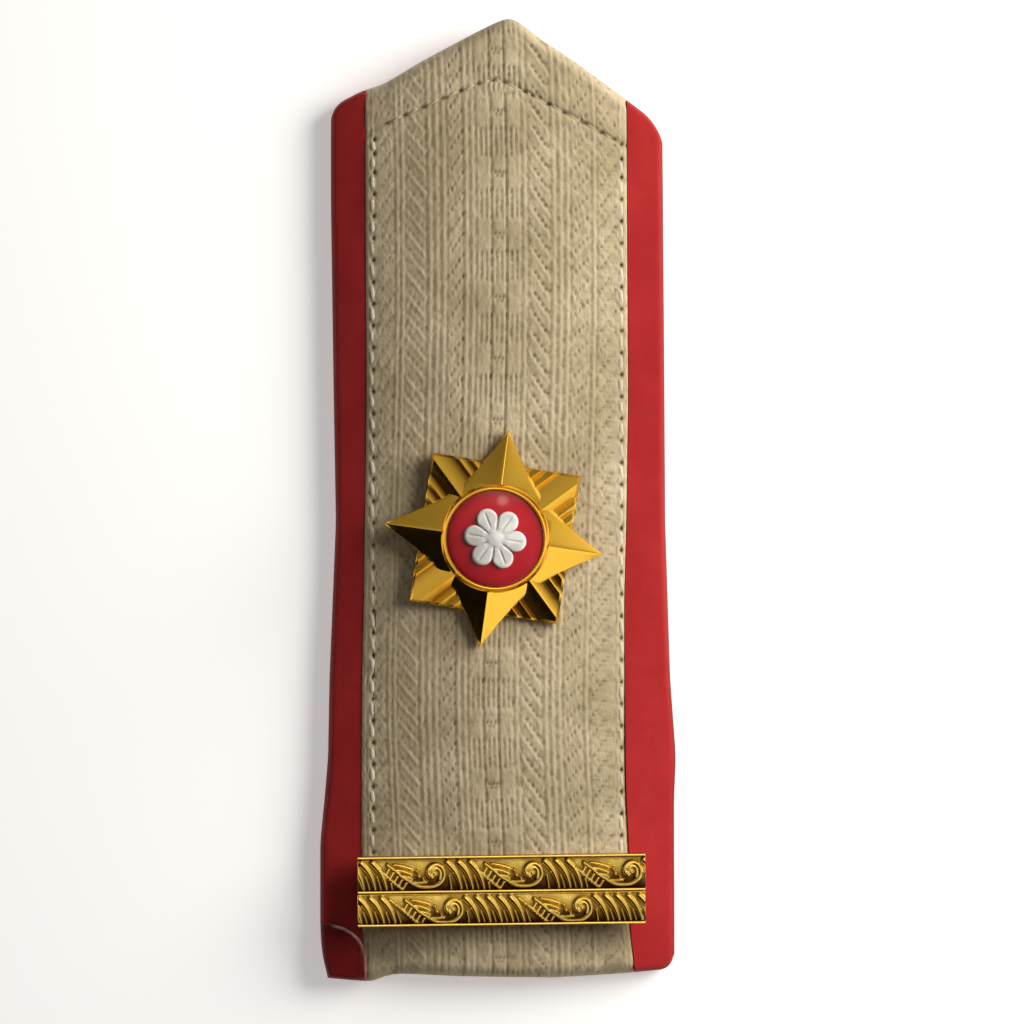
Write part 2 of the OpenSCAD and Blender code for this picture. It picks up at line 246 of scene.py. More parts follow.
def round_off(distance, radius):
    """Share of full height at a distance in from a rounded edge."""
    share = np.clip(distance / radius, 0.01, 1)
    return np.sqrt(1 - (1 - share) ** 2)


def corner_drop(past, radius):
    past = np.clip(past, 0, radius)
    return radius - np.sqrt(radius * radius - past * past)


def peak(d, left, right, radius):
    """Fall from a rounded peak at nought, with its own slope on each side."""
    return np.where(d < 0, left, right) * (np.sqrt(d * d + radius * radius) - radius)


def from_segment(x, y, a, b):
    """Distance from the line between two points, and the share of the way along it."""
    step = b - a
    px, py = x - a[0], y - a[1]
    t = np.clip((px * step[0] + py * step[1]) / max(step @ step, 1e-9), 0, 1)
    return np.hypot(px - t * step[0], py - t * step[1]), t


# Outlines of board and braid
def edges(table, y):
    return soft(table, 1, y), soft(table, 2, y)


def from_edges(table, x, y):
    """Distance in from the nearer side edge, below nought outside both."""
    left, right = edges(table, y)
    return np.minimum(x - left, right - x)


def tip_y(x):
    slope = half_len - peak(x - point_x, left_fall, right_fall, point_round)
    left = corner_drop(left_side + left_shoulder - x, left_shoulder)
    right = corner_drop(x - right_side + right_shoulder, right_shoulder)
    return slope - left - right + soft(TIP, 1, x, 0.6)


def hem_line(x):
    return hem_y - soft(HEM, 1, x, 0.25)


def seam_line(x):
    return seam_y - peak(x - seam_x, seam_left, seam_right, seam_round)


def under_braid(x, end, inside):
    """Nought just past the braid's edge at one end of the board, one at its edge a little way inside."""
    left, right = edges(BRAID, end)
    inner_left, inner_right = edges(BRAID, inside)
    left, right = left - inset_ramp, right + inset_ramp
    return np.clip(np.minimum((x - left) / (inner_left - left), (right - x) / (right - inner_right)), 0, 1)


def cover_tip(x):
    return tip_y(x) - cover_inset * under_braid(x, half_len, half_len - cover_inset)


def cover_hem(x):
    hem = hem_line(x)
    return hem + cover_inset * under_braid(x, hem, hem + cover_inset)


def from_ends(x, y, hem=hem_line, tip=tip_y):
    """Distance in from the nearer end, the hem or the point."""
    return np.minimum(y - hem(x), tip(x) - y)


# Surfaces of board and braid
def arch_z(x, y):
    """Height of the arch, which goes on below nought outside the lines that it stands on."""
    left, right = edges(SIDES, y)
    half = np.where(x < 0, -left, right) - edge_round
    arch = hem_rise + (arch_rise - hem_rise) * soft(ARCH, 1, y)
    return arch * (1 - (x / half) ** 2)


def under_z(x, y):
    """Underside of the board, an arch that stands on both long edges."""
    return np.maximum(0, arch_z(x, y))


def cover_half(x, y):
    """Half the cover's thickness, rounded off towards every edge."""
    end = from_ends(x, y, cover_hem, cover_tip)
    return board_t / 2 * round_off(from_edges(SIDES, x, y), cloth_round) * round_off(end, cloth_round)


def borders(x, y):
    """Lift of both padded borders beside the sewn braid, with faint creases and waves."""
    beside = -from_edges(BRAID, x, y)
    creases = sum(bell(y - place - slant * x, 0.5) for place, slant in CREASES)
    waves = 0.09 * ripple(x, y, 14, 3) + 0.04 * ripple(x, y, 5, 4) - 0.07 * creases
    lean = lower_lean * (lean_pivot - x) * smooth_step(17, 18, x) * fade(-40, -16, y)
    return (border_puff + lean) * smooth_step(0.0, 0.08, beside) + waves * smooth_step(0, 1.2, beside)


def cover_top(x, y):
    half = cover_half(x, y)
    fall = np.minimum(0, arch_z(x, y))
    return under_z(x, y) + board_t / 2 + half + (borders(x, y) + fall) * (half / (board_t / 2))


def cover_low(x, y):
    return under_z(x, y) + board_t / 2 - cover_half(x, y)


def plain_braid(x, y):
    """The braid's face without its weave: it rolls over the hem and the point."""
    flat = under_z(x, y) + board_t + gap + ribbon_t
    return flat - (board_t / 2 + ribbon_t) * (1 - round_off(from_ends(x, y), ribbon_roll))


# Meshes
def linked(name, data):
    """New Blender object in the scene."""
    made = bpy.data.objects.new(name, data)
    bpy.context.scene.collection.objects.link(made)
    return made


class Shape:
    """Points in millimetres with their shade values, and the quads and triangles between them."""

    def __init__(self):
        self.points = []
        self.values = []
        self.quads = []
        self.tris = []
        self.size = 0

    def add(self, points, quads, tris, value=1.0):
        """Adds an array of points, and lists of arrays of quads and triangles between them."""
        self.quads += [q + self.size for q in quads]
        self.tris += [t + self.size for t in tris]
        self.points.append(points)
        self.values.append(np.broadcast_to(value, len(points)))
        self.size += len(points)
        return self

    def merge(self, other, turn=0.0, at=(0, 0, 0)):
        """Adds another shape, turned about z by an angle in degrees and then moved."""
        c, s = cos(radians(turn)), sin(radians(turn))
        spin = np.array([[c, s, 0], [-s, c, 0], [0, 0, 1]])
        points = np.concatenate(other.points) @ spin + np.array(at)
        return self.add(points, other.quads, other.tris, np.concatenate(other.values))

    def placed(self, at, turn=0.0):
        return Shape().merge(self, turn, at)

    def piece(self, name, material, slot, replaces=None, sharp=None):
        """Turns the shape into a Blender object that rides on the board."""
        faces = [f for group in self.quads + self.tris for f in group.tolist()]
        mesh = bpy.data.meshes.new(name)
        mesh.from_pydata((np.concatenate(self.points) * MM).tolist(), [], faces)
        shade = mesh.attributes.new("shade", "FLOAT", "POINT")
        shade.data.foreach_set("value", np.concatenate(self.values).astype(np.float32))
        mesh.polygons.foreach_set("use_smooth", np.ones(len(faces), bool))
        if sharp is not None:
            mesh.set_sharp_from_angle(angle=radians(sharp))
        mesh.validate()
        mesh.materials.append(material)
        made = linked(name, mesh)
        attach(made, "root")
        if replaces:
            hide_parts(replaces)
        return made


def stacked(x, y, z):
    return np.stack([x, y, z], -1)


def grid_quads(rows, cols):
    index = np.arange(rows * cols).reshape(rows, cols)
    corners = [index[:-1, :-1], index[:-1, 1:], index[1:, 1:], index[1:, :-1]]
    return np.stack(corners, -1).reshape(-1, 4)


def grid_sides(rows, cols, start=0):
    """The four sides of a grid, each with both its corners, in one turn round it."""
    index = start + np.arange(rows * cols).reshape(rows, cols)
    return [index[0], index[:, -1], index[-1, ::-1], index[::-1, 0]]


def zipped(points, upper, lower):
    """Triangles between two rows of points that start and end together."""
    def travel(row, below):
        steps = np.linalg.norm(np.diff(points[row], axis=0), axis=1)
        return [(share, below) for share in np.cumsum(steps) / max(steps.sum(), 1e-9)]

    i = j = 0
    tris = []
    for _, below in sorted(travel(upper, 0) + travel(lower, 1)):
        tris.append((lower[j], lower[j + 1] if below else upper[i + 1], upper[i]))
        i, j = i + 1 - below, j + below
    return tris


def slab(upper, lower, value=1.0):
    """Closed shape between a grid of upper points and a grid of lower points."""
    rows, cols = upper.shape[:2]
    low_rows, low_cols = lower.shape[:2]
    count = rows * cols
    points = np.concatenate([upper.reshape(-1, 3), lower.reshape(-1, 3)])
    quads = [grid_quads(rows, cols), grid_quads(low_rows, low_cols)[:, ::-1] + count]
    tris = []
    for up, low in zip(grid_sides(rows, cols), grid_sides(low_rows, low_cols, count)):
        tris += zipped(points, up, low)
    values = np.concatenate([np.broadcast_to(value, (rows, cols)).ravel(), np.ones(low_rows * low_cols)])
    return Shape().add(points, quads, [np.array(tris)], values)


def plate(x, y, z, low, value=1.0):
    """Closed shape between a grid, whose first axis runs along it, and a flat underside."""
    grids = [stacked(x, y, level).transpose(1, 0, 2) for level in (z, np.full_like(z, low))]
    return slab(*grids, value)


def skin(rings, closed=False):
    """Surface through rings of points, listed from the lower middle outward and up; a pole has one point."""
    count = max(len(ring) for ring in rings)
    index, size = [], 0
    for ring in rings:
        index.append(size + np.arange(count) * (len(ring) > 1))
        size += len(ring)
    quads, tris = [], []
    for a, b in zip(index, index[1:] + (index[:1] if closed else [])):
        a1, b1 = np.roll(a, -1), np.roll(b, -1)
        if a[0] == a[1]:
            tris.append(np.stack([a, b1, b], 1))
        elif b[0] == b[1]:
            tris.append(np.stack([a, a1, b], 1))
        else:
            quads.append(np.stack([a, a1, b1, b], 1))
    return Shape().add(np.concatenate(rings), quads, tris)


def lathe(profile, segments, closed=False):
    """Surface turned about z from (radius, height) pairs, listed from the lower middle outward and up."""
    turn = TURN * np.arange(segments) / segments
    around = stacked(np.cos(turn), np.sin(turn), np.ones(segments))
    rings = [around * (r, r, z) if r > 0 else np.array([[0, 0, z]]) for r, z in profile]
    return skin(rings, closed)


# Grids of places
def between(a, b, n):
    return a + (b - a) * np.arange(1, n) / n


def spacing(near, n):
    """Shares of the way between two edges, and what is added there: close near both, even between."""
    shares = np.concatenate([np.zeros(len(near)), np.arange(1, n) / n, np.ones(len(near))])
    middle = near[-1] * (1 - 2 * np.arange(1, n) / n)
    return shares, np.concatenate([near, middle, -np.array(near[::-1])])


def spaced(a, b, near, n):
    """Places from one edge to another, spaced as above."""
    shares, offsets = spacing(near, n)
    return a + (b - a) * shares + offsets


def edge_columns(table, y):
    return [edge[:, None] for edge in edges(table, y)]


def surface_places(columns_at, near, n, hem, tip):
    """Grid of places on the board: rows from hem to point, columns that follow the edges."""
    levels = spaced(0.0, 1.0, [d / (2 * half_len) for d in near], n)
    across = columns_at(hem_y + (shoulder_y - hem_y) * levels)
    shares, offsets = (v[:, None] for v in spacing(near, n))
    for _ in range(2):
        along = hem(across) + (tip(across) - hem(across)) * shares + offsets
        across = np.stack([columns_at(y)[:, k] for k, y in enumerate(along.T)], 1)
    return across, hem(across) + (tip(across) - hem(across)) * shares + offsets


# Materials
def new_material(name):
    made = bpy.data.materials.new(name)
    made.use_nodes = True
    tree = made.node_tree
    tree.nodes.clear()
    out = tree.nodes.new("ShaderNodeOutputMaterial")
    shader = tree.nodes.new("ShaderNodeBsdfPrincipled")
    tree.links.new(shader.outputs["BSDF"], out.inputs["Surface"])
    return made, tree, shader


def fill(tree, node, values):
    """Sets a node's inputs; a value is a number, a colour of three numbers, or another node's output."""
    for name, value in values.items():
        socket = node.inputs[name]
        if isinstance(value, bpy.types.NodeSocket):
            tree.links.new(value, socket)
        else:
            socket.default_value = (*value, 1) if socket.type == "RGBA" else value
    return node


def add(tree, kind, values, **settings):
    node = tree.nodes.new("ShaderNode" + kind)
    for name, value in settings.items():
        setattr(node, name, value)
    return fill(tree, node, values)


def maths(tree, operation, *values):
    return add(tree, "Math", dict(enumerate(values)), operation=operation).outputs["Value"]


def noise(tree, size_mm, detail=3.0, long=1.0):
    """Cloudy noise of one size, drawn out along the board by a factor."""
    place = add(tree, "TexCoord", {}).outputs["Object"]
    place = add(tree, "VectorMath", {0: place, 1: (1, 1 / long, 1)}, operation="MULTIPLY").outputs["Vector"]
    values = {"Vector": place, "Scale": 1 / (size_mm * MM), "Detail": detail}
    return add(tree, "TexNoise", values).outputs["Fac"]


def threads(tree, pitch_mm, axis):
    """Even bands of one thread direction."""
    place = add(tree, "TexCoord", {}).outputs["Object"]
    scale = TURN / (20 * pitch_mm * MM)
    values = {"Vector": place, "Scale": scale, "Distortion": 1.5, "Detail": 1.0, "Detail Scale": 0.6}
    return add(tree, "TexWave", values, bands_direction=axis).outputs["Fac"]


def mixed(tree, factor, first, second):
    return add(tree, "MixRGB", {"Fac": factor, "Color1": first, "Color2": second}).outputs["Color"]


def ramp(tree, value, low, high, to_low=0.0, to_high=1.0):
    values = {"Value": value, "From Min": low, "From Max": high, "To Min": to_low, "To Max": to_high}
    return add(tree, "MapRange", values).outputs["Result"]


def shade_value(tree):
    return add(tree, "Attribute", {}, attribute_name="shade").outputs["Fac"]


def bumped(tree, height, strength, distance_mm):
    values = {"Height": height, "Strength": strength, "Distance": distance_mm * MM}
    return add(tree, "Bump", values).outputs["Normal"]


def cloth(name, light, dark, thread_mm, bump, sheen, painted_light_mix=(0.02, 0.012, 0.006), speckle=0.3, rough=0.0):
    """Woven cloth: cloudy colour, crossing threads and fibre; where its shade value is low it mixes in a
    colour of painted light, dark for painted shade and pale pink for the fold's painted highlight.
    """
    made, tree, shader = new_material(name)
    cloud = ramp(tree, noise(tree, 9.0), 0.35, 0.65)
    fibre = ramp(tree, noise(tree, 0.35, 2.0), 0.3, 0.7)
    long_fibre = ramp(tree, noise(tree, 0.42, 2.0, 2.2), 0.3, 0.7)
    colour = mixed(tree, cloud, dark, light)
    colour = mixed(tree, ramp(tree, long_fibre, 0.55, 0.1, 0.0, speckle), colour, dark)
    weave = maths(tree, "MULTIPLY", threads(tree, thread_mm, "X"), threads(tree, thread_mm * 1.2, "Y"))
    height = maths(tree, "MULTIPLY_ADD", weave, 0.6, fibre)
    height = maths(tree, "MULTIPLY_ADD", long_fibre, rough, height)
    fill(tree, shader, {
        "Base Color": mixed(tree, shade_value(tree), painted_light_mix, colour), "Roughness": 0.85,
        "Sheen Weight": sheen, "Sheen Roughness": 0.4, "Specular IOR Level": 0.25,
        "Normal": bumped(tree, height, bump, 0.12),
    })
    return made


def metal(name, bright, painted_shade_colour, roughness):
    """Polished metal that takes the painted shade colour and turns duller where its shade value is low:
    painted shade in recesses and on faces that mirror little light.
    """
    made, tree, shader = new_material(name)
    shade = shade_value(tree)
    wear = ramp(tree, noise(tree, 2.5), 0.3, 0.7, roughness * 0.85, roughness * 1.2)
    fill(tree, shader, {
        "Base Color": mixed(tree, shade, painted_shade_colour, bright), "Metallic": 1.0,
        "Roughness": maths(tree, "ADD", ramp(tree, shade, 0, 1, 0.3, 0), wear),
        "Normal": bumped(tree, noise(tree, 0.4), 0.03, 0.03),
    })
    return made


def enamel(name, light, dark, painted_shade_colour, roughness):
    """Glossy enamel, slightly cloudy inside, with painted shade where its shade value is low."""
    made, tree, shader = new_material(name)
    colour = mixed(tree, ramp(tree, noise(tree, 4.0), 0.35, 0.65), dark, light)
    fill(tree, shader, {
        "Base Color": mixed(tree, shade_value(tree), painted_shade_colour, colour), "Roughness": roughness,
        "Specular IOR Level": 0.12, "Coat Weight": 0.4, "Coat Roughness": 0.04,
        "Normal": bumped(tree, noise(tree, 1.5), 0.04, 0.1),
    })
    return made


RED_CLOTH = cloth("red felt cloth", (0.41, 0.026, 0.026), (0.355, 0.02, 0.021), 0.24, 0.08, 0.12)
# The fold is the same red felt painted darker: painted shade over the whole fold. Its mix colour, a pale
# pink, is a painted highlight along the fold's edge.
SHADED_FOLD_CLOTH = cloth("shaded red cloth of the fold", (0.19, 0.01, 0.011), (0.16, 0.008, 0.009), 0.24, 0.08, 0.12,
                   painted_light_mix=(1.0, 0.6, 0.57))
# The braid's mix colour, a dark brown, is painted shade wherever its shade value is low.
BRAID_CLOTH = cloth("cream woven braid", (0.632, 0.525, 0.352), (0.469, 0.382, 0.235), 0.24, 0.12, 0.1,
                    painted_light_mix=(0.05, 0.032, 0.014), speckle=0.55, rough=3.0)
THREAD = cloth("pale thread", (0.72, 0.64, 0.49), (0.58, 0.5, 0.37), 0.2, 0.2, 0.1)
STRAP_CLOTH = cloth("dark red webbing", (0.16, 0.01, 0.014), (0.1, 0.006, 0.009), 0.6, 0.9, 0.1)
GOLD = metal("gilt metal", (0.95, 0.55, 0.06), (0.09, 0.04, 0.008), 0.16)
RELIEF_GOLD = metal("gilt relief", (0.97, 0.66, 0.14), (0.05, 0.014, 0.003), 0.15)
NUT_METAL = metal("nut metal", (0.55, 0.52, 0.46), (0.08, 0.07, 0.06), 0.34)
RED_ENAMEL = enamel("red enamel", (0.54, 0.007, 0.016), (0.45, 0.005, 0.012), (0.1, 0.001, 0.004), 0.15)
WHITE_ENAMEL = enamel("white enamel", (0.92, 0.91, 0.87), (0.6, 0.6, 0.56), (0.6, 0.6, 0.56), 0.2)


# Red cover of the board and the fold over its corner
def make_cover():
    sewn = np.array(COVER_SEWN)

    def columns(y):
        left, right = edge_columns(SIDES, y)
        braid_left, braid_right = edge_columns(BRAID, y)
        a, b = braid_left - sewn[::-1], braid_right + sewn
        left_border = between(left + COVER_RIM[-1], a[:, :1], left_cells)
        right_border = between(b[:, -1:], right - COVER_RIM[-1], right_cells)
        middle = between(a[:, -1:], b[:, :1], middle_cells)
        rims = left + COVER_RIM, right - COVER_RIM[::-1]
        return np.concatenate([rims[0], left_border, a, middle, b, right_border, rims[1]], 1)

    x, y = surface_places(columns, COVER_RIM, cover_rows, cover_hem, cover_tip)
    # Painted shade: the cover darkens towards its rim, where its cut edge falls into shade.
    rim = np.minimum(from_edges(SIDES, x, y), from_ends(x, y, cover_hem, cover_tip))
    value = painted_rim_shade + (1 - painted_rim_shade) * smooth_step(0, 0.45, rim)
    shape = slab(stacked(x, y, cover_top(x, y)), stacked(x, y, cover_low(x, y)), value)
    made = shape.piece("board_cover", RED_CLOTH, "red_cloth", "board")


def make_fold():
    across = spaced(fold_left, fold_right, FOLD_RIM, fold_cells)
    low = hem_line(across) + 0.1
    high = np.interp(across, *np.array(FOLD).T)
    y = np.array([spaced(a, b, FOLD_RIM, fold_cells) for a, b in zip(low, high)]).T
    side = soft(SIDES, 1, y)
    reach = (fold_right - across) / (fold_right - fold_left)
    x = across + (side + 0.02 - fold_left) * reach
    path = np.array(FOLD)
    free = [from_segment(x, y, a, b)[0] for a, b in zip(path[:-1], path[1:])]
    free = np.minimum.reduce(free + [fold_right - x])
    rim = np.minimum(np.minimum(x - side, y - low), free)
    cover = cover_top(x, y)
    over_braid = smooth_step(-1.2, 0.4, x - soft(BRAID, 1, y))
    base = cover + 0.1 + (plain_braid(x, y) - cover + 0.05) * over_braid
    lip = fold_lip * bell(free - 0.25, 0.2) * fade(-21, -19.3, x)
    thick = (fold_t - fold_thin * smooth_step(-20.5, -18.8, x) + lip) * round_off(rim, 0.25)
    # Painted highlight: the pale pink mix colour along the fold's upper edge, fainter down its right side.
    pale = bell(free - 0.22, 0.18) * smooth_step(-23.6, -22.4, x) * (1 - 0.7 * smooth_step(-20.4, -18.9, x))
    shape = slab(stacked(x, y, base + thick), stacked(x, y, base), 1 - 0.95 * pale)
    made = shape.piece("corner_fold", SHADED_FOLD_CLOTH, "red_cloth", "corner_tuck")


# Woven relief of the braid, in millimetres over its plain face: u is the place across the pattern,
# n the number of repeats, d the distance down the board from a slanting line
def cords(u, start, count, pitch):
    inside = (u > start - pitch / 4) & (u < start + (count + 0.25) * pitch)
    return np.where(inside, -np.cos(TURN * (u - start) / pitch), 0)


def from_line(u, n, start, lean):
    """Distance down the board from the nearest of the slanting lines, three to a repeat."""
    phase = (3 * n - lean * (u - start) / leaf_pitch) % 1.0
    return np.where(phase > 0.5, phase - 1, phase) * leaf_pitch


def dots(u, d, lean, places, wide, high):
    """Round dots at some places of the slanting lines."""
    return sum(bell(u - a, wide) * bell(d + lean * (u - a), high) for a in places)


def centre_column(u, n):
    """Ribbed blocks and blocks of three plain cells, in turn."""
    block = n % 1.0
    v = block * block_len
    ribs_end = rib_share * block_len
    middle = (rib_share + cell_share) * block_len
    ribbed = smooth_step(0, 0.03, block) * fade(rib_share - 0.03, rib_share, block)
    rib = cords(u, rib_start, rib_count, rib_pitch)
    grooves = bell(u + 1.08, 0.17) + bell(u - 0.99, 0.17)
    ribs = rib_h * rib * (0.68 + 0.32 * np.cos(TURN * v / 0.8 + 2 * u)) - 0.05 * grooves
    cells = 0.05 - 0.16 * grooves + 0.04 * bell(v - ribs_end - 0.55, 0.35)
    for across, down in DENTS:
        cells = cells - 0.22 * bell(u - across, 0.18) * bell(v - middle - down, 0.22)
    cells = cells - 0.035 * bell(v - middle + 0.15, 0.2) - 0.02 * bell(v - middle - 1.3, 0.2)
    joins = -0.13 * (bell(v, 0.25) + bell(v - block_len, 0.25)) - 0.08 * bell(v - ribs_end, 0.2)
    joins = joins * (0.55 - 0.45 * rib)
    return part(u, rib_start, rib_end) * (ribs * ribbed + cells * (1 - ribbed) + joins)


def left_leaves(u, n, start=-13.1, lean=1.28):
    """Slanting ridges that fall to the right, with small holes over each."""
    d = from_line(u, n, start, lean)
    ridge = 0.12 * bell(d, 0.28) * (0.6 + 0.4 * smooth_step(start, -11.2, u))
    holes = dots(u - start, d + 0.75, lean, (0.45, 1.0, 1.6, 2.2), 0.17, 0.2)
    holes = holes + 0.5 * dots(u - start, d - 0.7, lean, (0.7, 1.4, 2.2), 0.17, 0.2)
    return part(u, start, -10.2) * (ridge - 0.03 * bell(d + 0.6, 0.35) - 0.09 * holes)


def right_leaves(u, n, start=4.93, lean=1.48):
    """Plain slanting bands with a row of small holes along each."""
    d = from_line(u, n, start, lean)
    holes = dots(u, d, lean, (start, 5.42, 5.95, 6.43), 0.19, 0.22)
    holes = holes + 0.6 * dots(u, d + 0.45, lean, (4.2, 6.9), 0.18, 0.22)
    band = 0.06 * bell(d - 0.75, 0.45) - 0.03 * bell(d, 0.35)
    return part(u, 4.0, 7.15) * (band - 0.17 * holes)


def dotted(u, n, places, lean, low, high, depth):
    """Short dashes and holes in lines that rise to the right."""
    d = from_line(u, n, places[0], -lean)
    half_step = (places[1] - places[0]) / 2
    holes = dots(u, d + 0.1, -lean * 0.5, places, 0.17, 0.3)
    dashes = dots(u + half_step, d - 0.1, -lean * 0.5, places, 0.17, 0.4)
    return part(u, low, high) * (depth * (1.1 * dashes - 1.8 * holes) - 0.02 * bell(np.abs(d) - 1.2, 0.3))


def edge_texture(u, n, low, high):
    """Soft diagonal lattice of small dots."""
    a = np.cos(TURN * (3 * n + (u - low) / 2.1))
    b = np.cos(TURN * (6 * n - (u - low) / 0.95))
    return part(u, low, high) * (0.025 * a * b - 0.14 * bell(a - 1, 0.3) * bell(b - 1, 0.5))


def woven(x, y):
    u = x - soft(MIDDLE, 1, y, 3)
    n = soft(REPEATS, 1, y, 0.3)
    knots = 0.8 + 0.2 * np.cos(TURN * 9 * n + 3 * u)
    relief = sum(cord_h * cords(u, *row) for row in CORDS) * knots
    relief = relief + centre_column(u, n) + left_leaves(u, n) + right_leaves(u, n)
    relief = relief + dotted(u, n, (-6.62, -6.13, -5.65, -5.16), 1.5, -7.2, -4.85, 0.09)
    relief = relief + dotted(u, n, (10.64, 11.17, 11.66, 12.19), 1.06, 10.05, 12.85, 0.075)
    return relief + edge_texture(u, n, -16.9, -14.7) + edge_texture(u, n, 13.75, 16.6)


def side_holes():
    """Needle holes of both side seams, from the point down."""
    steps = stitch_starts + [stitch_starts[-1] + stitch_pitch * (k + 1) for k in range(stitch_count)]
    left = []
    for y in [left_stitch_y - s for s in steps]:
        left.append((left_stitch_x + 0.15 * smooth_step(30, 50, y), y))
    return left, [(right_stitch_x, right_stitch_y - s) for s in steps]


def seam_holes():
    return [(x, seam_line(x), half) for x, half in SEAM_HOLES]


def seam_shape(x, past, right):
    """Height beside the pointed seam: pressed in, puffed and pleated, with a step at its right half.

    The distance past the seam is counted towards the board's point."""
    press = -0.22 * bell(past, 0.3) - 0.08 * bell(past, 1.2)
    puff = 0.12 * bell(past - 2.2, 1.4) * part(x, -17, 17, 3)
    pleats = 0.1 * np.sin(TURN * x / 0.74 + np.sin(x)) * (0.15 + 0.85 * bell(x, 4))
    gathered = bell(past + 1.0, 0.8) + 0.5 * bell(past - 1.0, 0.6)
    step = 0.14 * right * fade(-0.25, 0.1, past) * bell(past, 1.5)
    return press + puff + pleats * gathered + step


def hem_shape(x, y):
    """Height near the hem: crumpled, and lower towards its left corner."""
    corner = 0.4 * fade(-66, -59, y) * fade(-18, -6, x)
    return 0.15 * ripple(x, y, 3.0, 15) * fade(-64.5, -60, y) - corner


def needle_marks(x, y, height, shade):
    """Sinks each needle hole and paints shade into it, and puckers the face beside the holes of the side
    seams.
    """
    left, right = side_holes()
    for hx, hy in left + right:
        rows = np.abs(y[:, 0] - hy) < 4
        dx, dy = x[rows] - hx, y[rows] - hy
        hole = bell(dx, hole_r) * bell(dy, hole_r)
        pucker = bell(dy, 0.35) * smooth_step(0, 0.5, -dx * np.sign(hx)) * bell(dx, 2.6)
        height[rows] -= 0.5 * hole + 0.05 * pucker
        shade[rows] *= 1 - 0.95 * hole
    for hx, hy, half in seam_holes():
        rows = np.abs(y[:, 0] - hy) < 12
        dx, dy = x[rows] - hx, y[rows] - hy
        hole = bell(dx, half) * bell(dy + 0.15 * dx * np.sign(hx), 0.2)
        height[rows] -= 0.35 * hole
        shade[rows] *= 1 - 0.9 * hole


def braid_face(x, y):
    """Height of the braid's face over its plain form, and its shade value, which paints shade and a shadow
    into it.
    """
    grain = blurred(np.random.default_rng(31).normal(0, 1, x.shape), 1)
    relief = woven(x, y) * (0.9 + 0.4 * ripple(x, y, 2.4, 14)) + 0.055 * grain
    relief = relief * (1 + 0.3 * smooth_step(-6, 14, x)) * (0.8 + 0.2 * smooth_step(-63, -59.5, y))
    past = y - seam_line(x)
    right = smooth_step(-1, 4, x)
    waves = 0.06 * ripple(x, y, 17, 11) + 0.03 * ripple(x, y, 4, 12)
    height = relief + seam_shape(x, past, right) + waves + hem_shape(x, y)
    left_end = fade(-17, -3, x)
    # Painted shade in the weave's grooves and holes.
    shade = np.clip(1 + 4.5 * np.minimum(relief, 0), 0.36, 1.0)
    # Painted shade in the crease under the pointed seam's step, darker at its right half.
    shade = shade * (1 - (0.12 + 0.38 * right) * bell(past + 0.08, 0.16))
    # Painted shadow of the bars across the hem, wider and darker towards the left.
    shade = shade * (1 - (0.44 + 0.1 * left_end) * bell(y + 60.6 + 1.9 * left_end, 2.2 + 0.6 * left_end))
    # Painted shade along the braid's left side, beside its stitches.
    shade = shade * (1 - 0.08 * bell(x + 18, 1.6))
    needle_marks(x, y, height, shade)
    return height, shade


def make_braid():
    pattern = np.arange(weave_left, weave_right, weave_step)

    def columns(y):
        left, right = edge_columns(BRAID, y)
        middle = soft(MIDDLE, 1, y, 3)[:, None] + pattern
        left_part = between(left + BRAID_RIM[-1], middle[:, :1], edge_cells)
        right_part = between(middle[:, -1:], right - BRAID_RIM[-1], edge_cells)
        return np.concatenate([left + BRAID_RIM, left_part, middle, right_part, right - BRAID_RIM[::-1]], 1)

    def coarse_columns(y):
        left, right = edge_columns(BRAID, y)
        return left + (right - left) * np.arange(under_cells + 1) / under_cells

    x, y = surface_places(columns, BRAID_ENDS, braid_rows, hem_line, tip_y)
    height, shade = braid_face(x, y)
    height = height * smooth_step(0.0, 0.7, from_ends(x, y))
    side = from_edges(BRAID, x, y)
    edge = 0.08 * fade(0.1, 1.0, side) + 0.16 * (1 - round_off(side, 0.2))
    selvage = 0.05 * bell(side - 0.4, 0.18) + 0.035 * bell(side - 1.0, 0.18)
    upper = stacked(x, y, plain_braid(x, y) + height - edge + selvage)
    ends = [0, 0.5, ribbon_t, ribbon_t + 0.1, ribbon_roll]
    x, y = surface_places(coarse_columns, ends, under_rows, hem_line, tip_y)
    turned = from_ends(x, y) < ribbon_t + 0.01
    lower = stacked(x, y, under_z(x, y) + np.where(turned, skirt_z, board_t + gap))
    return slab(upper, lower, shade).piece("braid_face", BRAID_CLOTH, "braid", "ribbon")


def stitch(start, end, share, radius, lift):
    """Flat thread that rises out of its hole, lies on the braid and sinks again after a share of the way."""
    t = np.linspace(0, 1, 9)
    x, y = (np.array(start) + (np.array(end) - np.array(start)) * (share * t)[:, None]).T
    path = stacked(x, y, plain_braid(x, y) + lift - 0.32 * (np.abs(2 * t - 1) ** 4))
    radii = radius * (0.75 + 0.25 * np.sqrt(np.clip(1 - (2 * t - 1) ** 4, 0, 1)))
    along = np.gradient(path, axis=0)
    along /= np.linalg.norm(along, axis=1)[:, None]
    side = np.cross(along, [0, 0, 1])
    side /= np.linalg.norm(side, axis=1)[:, None]
    up = np.cross(side, along)
    turn = TURN * np.arange(thread_sides) / thread_sides
    rings = [p + r * (np.outer(np.cos(turn), s) + thread_flat * np.outer(np.sin(turn), u))
             for p, s, u, r in zip(path, side, up, radii)]
    return skin([path[-1:], *rings[::-1], path[:1]])


